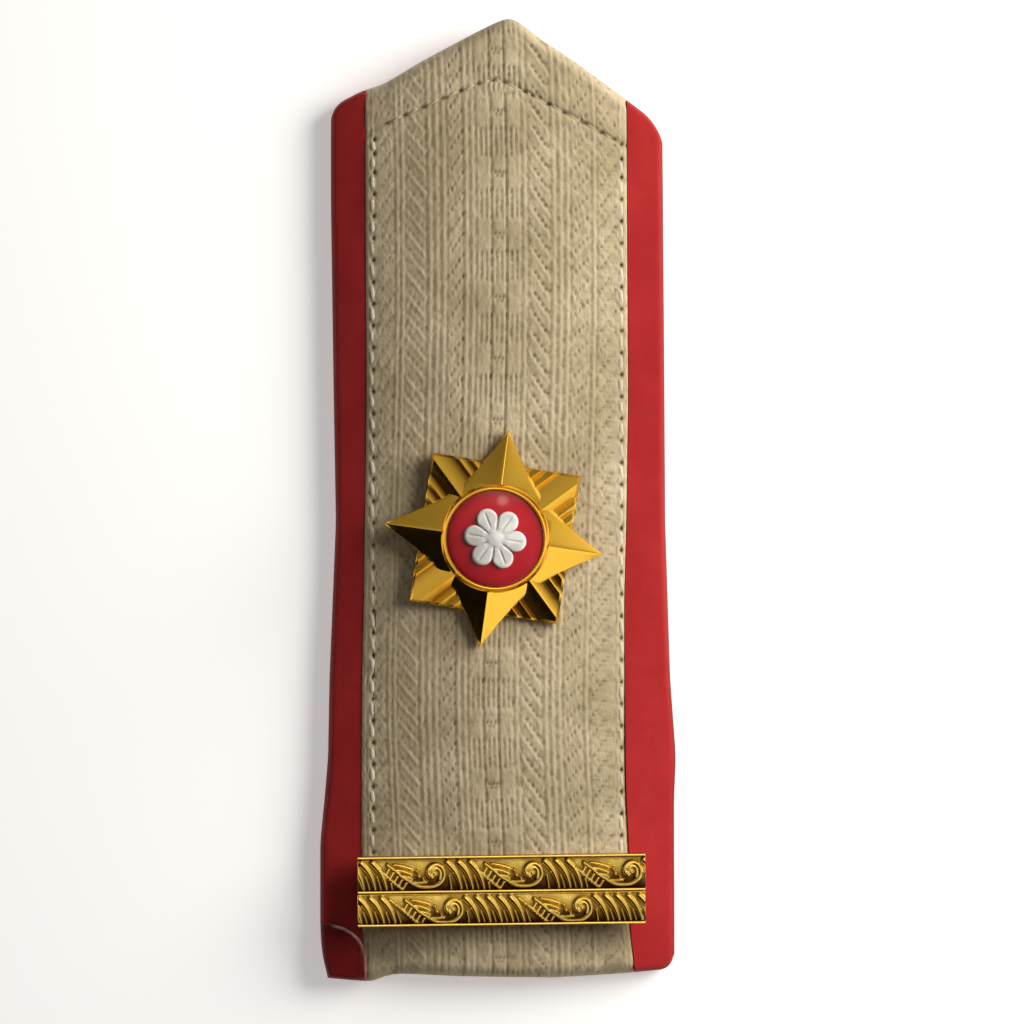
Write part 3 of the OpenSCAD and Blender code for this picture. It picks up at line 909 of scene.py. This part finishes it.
def make_stitches():
    shape = Shape()
    for k, line in enumerate(side_holes()):
        for (x, y), (x1, y1) in zip(line[:-1], line[1:]):
            lean = 0.1 * sin(2.3 * y + k)
            lift = -0.02 if k == 0 else -0.05
            shape.merge(stitch((x - 0.14, y - 0.25), (x1 + 0.04 + lean, y1), 0.8, side_thread_r, lift))
    sides = shape.piece("side_stitches", THREAD, "braid")
    shape = Shape()
    line = seam_holes()
    for (x, y, half), (x1, y1, half1) in zip(line[:-1], line[1:]):
        lift = -0.1 if 0.5 < x < 8 else -0.2
        shape.merge(stitch((x + half, y - 0.12), (x1 - half1, y1 - 0.05), 1.0, seam_thread_r, lift))
    return [sides, shape.piece("seam_stitches", BRAID_CLOTH, "braid")]


# Star badge
disc_low, disc_high = box_mm("enamel_disc")
star_x, star_y = (disc_low + disc_high)[:2] / 2
seat_z = arch_rise + board_t + gap + ribbon_t + gap
# Arms: direction in degrees and length
ARMS = [[-8.4, 15.15], [82.9, 15.2], [172.3, 15.65], [262.2, 15.25]]
arm_inner = 5.6
arm_low = 0.45
arm_base = 1.2
arm_apex = 6.4
arm_point = 0.07
arm_waist = 0.3
ridge_round = 0.15
valley_r = 8.7
arm_rows = 48
# Shares of an arm's half width where its cross section has points
ARM_MARKS = [0, 0.01, 0.025, 0.05, 0.09, 0.15, 0.3, 0.5, 0.7, 0.86, 0.96, 1]
plate_turn = -8.9
plate_r = 14.8
plate_t = 0.9
plate_inner = 6.4
broad_rib = 1.9
broad_rib_h = 1.15
narrow_rib_h = 0.46
rib_step = 1.42
# Quarters of the ray plate: place of the broad rib's crest, painted shade of the ground between the ribs
QUARTERS = [[-0.6, 0.8], [0.4, 0.08], [0.8, 0.35], [0.4, 0.12]]
# Rows of the ray plate near its edge: distance in, share of the ribs' height, drop
RAY_EDGE = [[0.5, 1.0, 0.0], [0.16, 0.35, 0.0], [0.04, 0.1, 0.04], [0.0, 0.0, 0.14]]
collar_r = 7.6
collar_in = 6.8
disc_seat = 3.3
# Collar from its inner foot outward, up and back in: radius, height
COLLAR = [
    (collar_in, 0.4), (collar_r, 0.4), (collar_r, 3.1), (7.55, 3.45), (7.45, 3.8), (7.3, 4.15), (7.17, 4.38),
    (7.09, 4.51), (7.03, 4.58), (6.97, 4.6), (6.88, 4.58), (6.82, 4.5), (collar_in, 4.4),
    (collar_in, disc_seat),
]
floor_r = 7.4
post_r = 1.1
post_end_z = 1.4
round_parts = 128
post_parts = 32
disc_r = 6.75
disc_edge = 0.9
dome_rise = 0.7
dome_rings = 16
rosette_turn = -8.0
petals = 6
petal_at = 2.9
petal_r = 1.45
rosette_inner = 1.9
petal_h = 0.36
inlay = 0.05


def arm(length):
    """One arm of the star along x, two facets that meet in a fine ridge."""
    valley = valley_r / sqrt(2)
    x = length - (length - arm_inner) * (np.linspace(0, 1, arm_rows) ** 1.2)
    share = np.clip((x - valley) / (length - valley), 0, 1)
    straight = valley * (1 - share) - arm_waist * np.sin(pi * share)
    half = np.maximum(np.where(x > valley, straight, x), arm_point)[:, None]
    rim = arm_base + (arm_apex - arm_base) * np.clip(1 - x / valley, 0, 1)
    crest = arm_base + (arm_apex - arm_base) * (1 - x / length) + 0.05
    s = np.array([-m for m in ARM_MARKS[:0:-1]] + ARM_MARKS)
    y = half * s
    fall = (np.sqrt(y * y + ridge_round ** 2) - ridge_round)
    fall = fall / (np.sqrt(half * half + ridge_round ** 2) - ridge_round)
    z = crest[:, None] - (crest - rim)[:, None] * np.minimum(fall, 1)
    z = z - 0.06 * np.sin(pi * np.abs(s)) * (half / valley) - 0.12 * (np.abs(s) > 0.99)
    x = np.broadcast_to(x[:, None], y.shape)
    z = np.where(np.hypot(x, y) < collar_r - 0.3, np.minimum(z, disc_seat - 0.3), z)
    return plate(x[::-1], y[::-1], z[::-1], arm_low)


def rib_profile(crest):
    """Places across a quarter of the ray plate and heights there: a broad rib between narrow ones."""
    marks = [(-broad_rib, 0), (crest, broad_rib_h), (broad_rib, 0)]
    lean = 0.14 * np.sign(crest)
    for k in range(4):
        start = broad_rib + rib_step * k
        for side in (1, -1):
            marks.append((side * (start + rib_step * 0.06), 0))
            marks.append((side * (start + rib_step / 2) + lean, narrow_rib_h))
            marks.append((side * (start + rib_step * 0.97), 0))
    places, heights = np.array(sorted(marks)).T
    across = np.sort(np.append(places, 0.0))
    return across, np.interp(across, places, heights)


def ray_quarter(crest, ground):
    """Quarter of the ray plate whose ribs run along x to the plate's corner."""
    across, height = rib_profile(crest)
    far = plate_r - np.abs(across)
    inset, share, drop = np.array([RAY_EDGE[0]] * 2 + RAY_EDGE).T[:, :, None]
    x = far - inset
    x[0] = plate_inner
    x[1] = (plate_inner + far - RAY_EDGE[0][0]) / 2
    y = np.broadcast_to(across, x.shape)
    # Painted shade: darker on the ground between the ribs, by each quarter's own amount.
    value = np.broadcast_to(np.clip(ground + 2.2 * height, 0, 1), x.shape)
    return plate(x, y, plate_t + height * share - drop, 0.0, value.T)


def make_star():
    shape = Shape()
    for turn, length in ARMS:
        shape.merge(arm(length), turn)
    for k, (crest, ground) in enumerate(QUARTERS):
        shape.merge(ray_quarter(crest, ground), plate_turn + 45 + 90 * k)
    shape.merge(lathe(COLLAR, round_parts, closed=True))
    floor_z, post_low = disc_seat - 0.02, post_end_z - seat_z
    shape.merge(lathe([(0, 0.5), (floor_r, 0.5), (floor_r, floor_z), (0, floor_z)], 64))
    post = [(0, post_low), (post_r - 0.15, post_low), (post_r, post_low + 0.15), (post_r, 0.5), (0, 0.5)]
    shape.merge(lathe(post, post_parts))
    shape.placed((star_x, star_y, seat_z)).piece("badge_star", GOLD, "gold_metal", "star", sharp=24)


def dome_z(r):
    """Height of the enamel's dome over the disc's lower face."""
    dome_r = (disc_r * disc_r + dome_rise * dome_rise) / (2 * dome_rise)
    return disc_edge + dome_rise - dome_r + np.sqrt(dome_r * dome_r - r * r)


def make_enamel():
    profile = [(0, 0), (disc_r, 0), (disc_r, disc_edge - 0.12), (disc_r - 0.04, disc_edge - 0.02)]
    profile += [(r, dome_z(r)) for r in np.linspace(disc_r - 0.12, 0, dome_rings)]
    disc = lathe(profile, round_parts)
    x, y = disc.points[0][:, :2].T
    # Painted shadow of the collar round the disc's edge, strongest at its upper left.
    upper_left = 0.5 + 0.5 * (y - x) / (sqrt(2) * disc_r)
    disc.values = [1 - (0.25 + 0.4 * upper_left) * smooth_step(5.2, disc_r, np.hypot(x, y))]
    disc.placed((star_x, star_y, disc_low[2])).piece("badge_enamel", RED_ENAMEL, "red_enamel", "enamel_disc")


def make_rosette():
    """Raised rosette of six petals, each with a fine vein, round a small boss."""
    turns, rings = 180, 18
    angle = TURN * np.arange(turns) / turns
    span = TURN / petals
    off = (angle + span / 2) % span - span / 2
    reach = petal_at * np.cos(off) + np.sqrt(np.maximum(petal_r ** 2 - (petal_at * np.sin(off)) ** 2, 0))
    edge = np.maximum(reach, rosette_inner) + 0.02
    share = 1 - (1 - np.linspace(0, 1, rings)) ** 1.4
    r = 0.02 + (edge - 0.02) * share[:, None]
    rim = edge - r
    vein = 0.12 * bell(off * r, 0.13) * part(r, 1.5, 3.9, 0.4)
    notch = 0.2 * bell((np.abs(off) - span / 2) * r, 0.16) * smooth_step(1.0, 1.7, r)
    boss = 0.12 * bell(r, 0.7) - 0.12 * bell(r - 1.25, 0.16)
    x, y = r * np.cos(angle), r * np.sin(angle)
    base = dome_z(np.minimum(r, disc_r)) + inlay
    lift = petal_h * round_off(rim, 0.35) + (boss - vein - notch) * smooth_step(0, 0.3, rim)
    upper = stacked(x, y, base + lift)
    bottom = np.array([[0, 0, dome_z(0) + inlay]])
    top = np.array([[0, 0, upper[0, 0, 2]]])
    shape = skin([bottom, stacked(x, y, base)[-1], *upper[::-1], top])
    # Painted shade in the petals' veins, the notches between them and the groove round the boss.
    value = np.clip(1 - 3 * (vein + notch + 0.12 * bell(r - 1.25, 0.2)), 0.4, 1)
    shape.values = [np.concatenate([np.ones(1 + turns), value[::-1].ravel(), [1]])]
    shape = shape.placed((star_x, star_y, disc_low[2]), rosette_turn)
    shape.piece("badge_rosette", WHITE_ENAMEL, "white_enamel", "enamel_rosette")


# Rank bars with their scroll relief
bar_len = 40.2
bar_t = 1.2
relief_h = 0.7
bar_turn = 0.76
bar_x = 0.5
bar_round = 0.2
bar_post_x = 12.0
bar_post_r = 0.6
head_r = 1.5
head_h = 0.5
rim_w = 0.42
rim_h = 0.56
# Cell of the relief's grid, rows and columns of the plain underside
cell = 0.066
under_grid = (8, 60)
# Bars: piece, CAD node, width, place along the board, volutes, flutes after each, size of the upper rim
BARS = [
    ["rank_bar_upper", "bar_upper", 5.2, -52, [-23.2, -9.6, 4, 17.8], 3, 1],
    ["rank_bar_lower", "bar_lower", 4.55, -56.95, [-25.1, -7.1, 10.9], 5, 0.45],
]

# One unit of the scroll, its places counted from the middle of its volute
STEM = [(-8.5, 1.45), (-7.2, 0.45), (-6.4, -0.25), (-5.3, -1.25), (-4.4, -1.95)]
RAIL = [
    (-6.3, 1.4), (-5.7, 0.9), (-5.1, 0.45), (-4.4, -0.25), (-3.5, -0.85), (-2.7, -1.35), (-1.9, -1.68),
    (-0.9, -1.75), (0.2, -1.65), (1.1, -1.15), (1.6, -0.3), (1.45, 0.7), (0.75, 1.3), (-0.1, 1.2),
    (-0.6, 0.6), (-0.5, -0.1), (-0.1, -0.35),
]
# Broad inner band of the volute
BAND = [(1.0, -0.75), (1.1, 0.1), (0.85, 0.7), (0.3, 0.8), (-0.1, 0.55)]
RUNG_START = (-6.35, 0.3)
RUNG_END = (-3.95, -1.65)
rung_count = 5
# Leaves: their line, half width at the root and at the tip
LEAVES = [
    ([(-5.4, 1.4), (-4.3, 1.2), (-2.9, 0.75)], 0.16, 0.3),
    ([(-5, 0.65), (-4.1, 0.45), (-3, 0)], 0.2, 0.28),
    ([(-4.3, -0.1), (-3.6, -0.35), (-2.9, -0.65)], 0.16, 0.24),
    ([(-2.6, -1.05), (-1.8, -1.15), (-0.9, -1.05)], 0.16, 0.24),
]
# Beads: place and radius
BEADS = [
    (-2.2, 0.5, 0.26), (-1.9, -0.2, 0.3), (-1.3, -0.6, 0.22), (-0.2, 0, 0.34), (0.3, 0.05, 0.36),
    (2.35, -0.25, 0.22),
]
STALK = [(2.35, -0.4), (2.5, -1.4), (2.6, -2.4)]
FLUTE = [(2.15, 1.6), (2.85, 0.8), (3.45, -0.2), (3.85, -1.4), (4.05, -2.5)]
flute_pitch = 1.58


def smooth_path(points, n=5):
    """The points joined by a smooth curve through all of them."""
    p = np.array([points[0], *points, points[-1]], float)
    t = np.arange(n)[:, None] / n
    out = []
    for a, b, c, d in zip(p[:-3], p[1:-2], p[2:-1], p[3:]):
        square = (2 * a - 5 * b + 4 * c - d) * t ** 2
        out.append(0.5 * (2 * b + (c - a) * t + square + (3 * b - a - 3 * c + d) * t ** 3))
    return np.concatenate(out + [p[-1:]])


def raise_cord(field, x, y, path, r0, r1, rise, spread=1.3):
    """Raises the field to a round cord along a path whose half width goes from r0 to r1."""
    radii = np.linspace(r0, r1, len(path))
    for a, b, ra, rb in zip(path[:-1], path[1:], radii[:-1], radii[1:]):
        reach = spread * max(ra, rb)
        low, high = np.minimum(a, b) - reach, np.maximum(a, b) + reach
        i = np.flatnonzero((y[:, 0] >= low[1]) & (y[:, 0] <= high[1]))
        j = np.flatnonzero((x[0] >= low[0]) & (x[0] <= high[0]))
        if not len(i) or not len(j):
            continue
        window = np.ix_(i, j)
        distance, t = from_segment(x[window], y[window], a, b)
        d = distance / (ra + (rb - ra) * t)
        height = rise * np.clip(1 - (d / spread) ** 2, 0, 1) ** 1.2
        field[window] = np.maximum(field[window], height)


def scroll(field, x, y, at, flutes):
    """Raises one unit of the scroll and the flutes that follow it."""
    def cord(points, r0, r1, rise):
        raise_cord(field, x, y, smooth_path(points) + (at, 0), r0, r1, rise)

    def bead(px, py, r, rise):
        raise_cord(field, x, y, np.array([[px, py], [px + 0.01, py]]) + (at, 0), r, r, rise)

    cord(BAND, 0.32, 0.28, 0.24)
    cord(RAIL, 0.24, 0.34, 0.42)
    cord(STEM, 0.22, 0.22, 0.28)
    for px, py in smooth_path(STEM, 3)[2:]:
        bead(px, py, 0.27, 0.4)
    for px, py in np.linspace(RUNG_START, RUNG_END, rung_count):
        cord([(px - 0.28, py - 0.5), (px + 0.28, py + 0.5)], 0.2, 0.2, 0.3)
    for line, r0, r1 in LEAVES:
        cord(line, r0, r1, 0.34)
    for px, py, r in BEADS:
        bead(px, py, r, 0.46)
    cord(STALK, 0.14, 0.22, 0.3)
    for k in range(flutes):
        line = [(px + flute_pitch * k, py) for px, py in FLUTE]
        cord(line, 0.46, 0.22, 0.36)
        cord([(px + 0.8, py - 0.1) for px, py in line[2:]], 0.1, 0.2, 0.26)


def bar_grid(size):
    """Places along one side of a bar, closer at both ends."""
    ends = [0, 0.03, 0.08]
    return np.concatenate([ends, np.arange(0.15, size - 0.1, cell), size - np.array(ends[::-1])]) - size / 2


def bar_relief(x, flat, width, field, upper_rim):
    """Height of a bar's face over its plate, and its painted shade: dark in hollows and on the ground
    between the cords, more so on the lower half.
    """
    side = width / 2 - np.abs(flat)
    rim_size = np.where(flat > 0, upper_rim, 1.0)
    rim_wide = rim_w * rim_size
    inner = smooth_step(0.85, 1.3, side / rim_wide)
    across = np.clip(np.abs(side / (rim_wide * 0.5) - 1), 0, 1)
    slant = 0.3 * np.sign(flat) * (side - rim_wide * 0.5)
    rim = (rim_h * rim_size + slant) * np.sqrt(1 - across ** 4)
    pillow = 0.2 * (1 - (flat / (width / 2)) ** 2) + 0.015 * ripple(x, flat, 1.6, 21)
    relief = np.maximum((pillow + field) * inner, rim) * smooth_step(0, 0.06, bar_len / 2 - np.abs(x))
    # Painted shade in the hollows, and more on the ground and the lower half, which mirror little light.
    painted_light_mix = blurred(blurred(relief, 7), 5) - relief
    low_side = smooth_step(-0.25, 0.75, -flat / (width / 2))
    dark = 1 - np.clip(1.0 - 9.0 * np.maximum(painted_light_mix - 0.01, 0), 0.02, 1)
    ground = inner * fade(0.04, 0.2, field)
    shade = 1 - (0.68 + 0.32 * low_side) * dark
    shade = shade * (1 - (0.22 + 0.72 * low_side) * ground) * (1 - 0.35 * low_side * inner)
    return relief, shade


def make_bar(name, node, width, middle_y, volutes, flutes, upper_rim):
    low, high = box_mm(node)
    seat = high[2] - bar_t - relief_h
    x, flat = np.meshgrid(bar_grid(bar_len), bar_grid(width))
    half = width / 2 - corner_drop(np.abs(x) - (bar_len / 2 - bar_round), bar_round)
    y = flat * half / (width / 2)
    field = np.zeros_like(x)
    for at in volutes:
        scroll(field, x, flat, at, flutes)
    relief, shade = bar_relief(x, flat, width, blurred(field, 1), upper_rim)
    coarse = np.ix_(*[np.linspace(0, size - 1, n).astype(int) for size, n in zip(x.shape, under_grid)])
    shape = slab(stacked(x, y, bar_t + relief), stacked(x, y, np.zeros_like(x))[coarse], shade)
    foot = low[2] - seat
    post = [(0, foot), (head_r - 0.12, foot), (head_r, foot + 0.12), (head_r, foot + head_h),
            (bar_post_r, foot + head_h), (bar_post_r, 0.1), (0, 0.1)]
    for post_x in (-bar_post_x, bar_post_x):
        shape.merge(lathe(post, post_parts), 0, (post_x, 0, 0))
    shape.placed((bar_x, middle_y, seat), bar_turn).piece(name, RELIEF_GOLD, "gold_metal", node, sharp=80)


# Back: nut and strap
nut_teeth = 36
nut_knurl = 0.035
nut_bevel = 0.4
strap_t = 1.0
strap_hold = 2.5
strap_seam = 1.2
strap_seat = 0.15
strap_cols = 120
strap_rows = 60


def make_nut():
    low, high = box_mm("star_nut")
    radius, thick = (high[0] - low[0]) / 2, high[2] - low[2]
    bore, face = post_r + 0.05, radius - nut_bevel
    profile = [(bore, 0), (face, 0), (radius, 0.3), (radius, thick - 0.3), (face, thick), (bore, thick)]
    shape = lathe(profile, nut_teeth * 4, closed=True)
    points = shape.points[0]
    outer = np.flatnonzero(np.hypot(points[:, 0], points[:, 1]) > radius - 0.1)
    knurl = 1 - nut_knurl * (0.5 + 0.5 * np.cos(TURN * outer / 4))
    points[outer, :2] *= knurl[:, None]
    shape.placed((star_x, star_y, low[2])).piece("badge_nut", NUT_METAL, "nut_metal", "star_nut", sharp=25)


def make_strap():
    """Webbing that spans the arch, sewn down at both ends."""
    low, high = box_mm("back_strap")
    half = high[0]
    near = [0, 0.05, 0.15, 0.3]
    x, y = np.meshgrid(spaced(low[0], half, near, strap_cols), spaced(low[1], high[1], near, strap_rows))
    middle_y = (low[1] + high[1]) / 2
    inner, ends = under_z(np.array([half - strap_hold, half]), middle_y) - strap_seat
    top = np.interp(np.abs(x), [0, half - strap_hold, half], [inner, inner, ends])
    rim = np.minimum(np.minimum(x - low[0], half - x), np.minimum(y - low[1], high[1] - y))
    thin = strap_t / 2 * (1 - round_off(rim, 0.4))
    ribs = 0.042 * np.cos(TURN * y / 1.2) * smooth_step(0.3, 1.0, rim)
    sewn = bell(np.abs(x) - (half - strap_seam), 0.25)
    upper = stacked(x, y, top - thin)
    lower = stacked(x, y, top - strap_t + thin + ribs + 0.25 * sewn * smooth_step(0.8, 1.2, rim))
    made = slab(upper, lower, 1 - 0.5 * sewn).piece("back_webbing", STRAP_CLOTH, "strap_cloth", "back_strap")


# Stage: floor and key light, in metres and degrees
floor_half = 4.0
floor_drop = 0.00002
key_azimuth = 23
key_elevation = 31
key_distance = 0.45
key_size = 0.34
key_power = 3.06
key_colour = (1.0, 0.96, 0.9)
# The photograph's frame and the lens, in millimetres
photo_mm_per_px = 0.14
photo_px = 1024
photo_centre_mm = (1.96, -1.61)
focus_mm = 5.0
camera_lens = 200.0
sensor = 36.0
# Panels that polished faces mirror: azimuth, elevation, inner and outer reach in degrees, brightness
PANELS = [
    [-52, 27, 18, 36, 0.78], [84, 58, 5, 34, 0.4], [82, 56, 10, 20, 1], [79, 71, 1.5, 3.2, 5.5],
    [-5, 62, 8, 24, 0.3], [40, 6, 10, 22, 0.9],
]
DARK_SIDE = [-143, 14, 36, 60]


def make_floor():
    s = floor_half
    mesh = bpy.data.meshes.new("floor")
    mesh.from_pydata([(-s, -s, 0), (s, -s, 0), (s, s, 0), (-s, s, 0)], [], [(0, 1, 2, 3)])
    floor = linked("floor", mesh)
    made, tree, shader = new_material("pale floor")
    fill(tree, shader, {
        "Base Color": mixed(tree, noise(tree, 60.0), (0.9, 0.9, 0.9), (0.93, 0.93, 0.93)),
        "Roughness": 0.9, "Specular IOR Level": 0.1, "Emission Color": (1, 1, 1), "Emission Strength": 0.4,
    })
    mesh.materials.append(made)
    floor.location.z = -floor_drop


def toward(azimuth, elevation):
    """Unit vector; azimuth is counted from +X towards +Y, both in degrees."""
    a, e = radians(azimuth), radians(elevation)
    return Vector((cos(a) * cos(e), sin(a) * cos(e), sin(e)))


def make_key_light():
    """Soft key light; polished faces mirror the panels of the world instead of it."""
    data = bpy.data.lights.new("key", "AREA")
    data.shape = "DISK"
    data.size = key_size
    data.energy = key_power
    data.color = key_colour
    light = linked("key", data)
    light.visible_glossy = False
    direction = toward(key_azimuth, key_elevation)
    light.location = direction * key_distance
    light.rotation_mode = "QUATERNION"
    light.rotation_quaternion = direction.to_track_quat("Z", "Y")


def lobe(tree, place, azimuth, elevation, inner, outer):
    """One near a direction, nought past the outer reach."""
    values = {0: place, 1: toward(azimuth, elevation)}
    facing = add(tree, "VectorMath", values, operation="DOT_PRODUCT").outputs["Value"]
    return ramp(tree, facing, cos(radians(outer)), cos(radians(inner)))


def make_world():
    """Soft sky for cloth and floor, and brighter panels with a dark side for what polished faces mirror."""
    world = bpy.data.worlds.new("studio")
    bpy.context.scene.world = world
    world.use_nodes = True
    tree = world.node_tree
    tree.nodes.clear()
    out = tree.nodes.new("ShaderNodeOutputWorld")
    place = add(tree, "TexCoord", {}).outputs["Generated"]
    split = add(tree, "SeparateXYZ", {"Vector": place})
    level = ramp(tree, split.outputs["Z"], 0.3, 0.95, 0.24, 0.56)
    level = maths(tree, "ADD", level, ramp(tree, split.outputs["X"], -0.8, 0.8, -0.06, 0.1))
    for azimuth, elevation, inner, outer, bright in PANELS:
        seen = lobe(tree, place, azimuth, elevation, inner, outer)
        level = maths(tree, "MULTIPLY_ADD", seen, bright, level)
    dark = lobe(tree, place, *DARK_SIDE)
    level = maths(tree, "MULTIPLY", level, ramp(tree, dark, 0, 1, 1.0, 0.02))
    path = add(tree, "LightPath", {})
    sky = ramp(tree, dark, 0, 1, 0.13, 0.05)
    level = add(tree, "Mix", {0: path.outputs["Is Glossy Ray"], 2: sky, 3: level}).outputs[0]
    colour = mixed(tree, path.outputs["Is Camera Ray"], (1.0, 0.97, 0.92), (0.93, 0.93, 0.93))
    back = add(tree, "Background", {"Color": colour, "Strength": level})
    tree.links.new(back.outputs["Background"], out.inputs["Surface"])


def make_camera():
    """Long lens straight above the board, framed as the photograph is."""
    data = bpy.data.cameras.new("camera")
    data.sensor_width = sensor
    data.lens = camera_lens
    data.dof.use_dof = False
    data.clip_start, data.clip_end = 0.01, 20
    camera = linked("camera", data)
    width = photo_px * photo_mm_per_px * MM
    height = width * camera_lens / sensor + focus_mm * MM
    camera.location = (photo_centre_mm[0] * MM, photo_centre_mm[1] * MM, height)
    bpy.context.scene.camera = camera


make_cover()
make_fold()
braid = make_braid()
stitches = make_stitches()
make_star()
make_enamel()
make_rosette()
for bar in BARS:
    make_bar(*bar)
make_nut()
make_strap()

make_floor()
make_key_light()
make_world()
make_camera()
bpy.context.scene.view_settings.view_transform = "Standard"
bpy.context.scene.view_settings.look = "None"
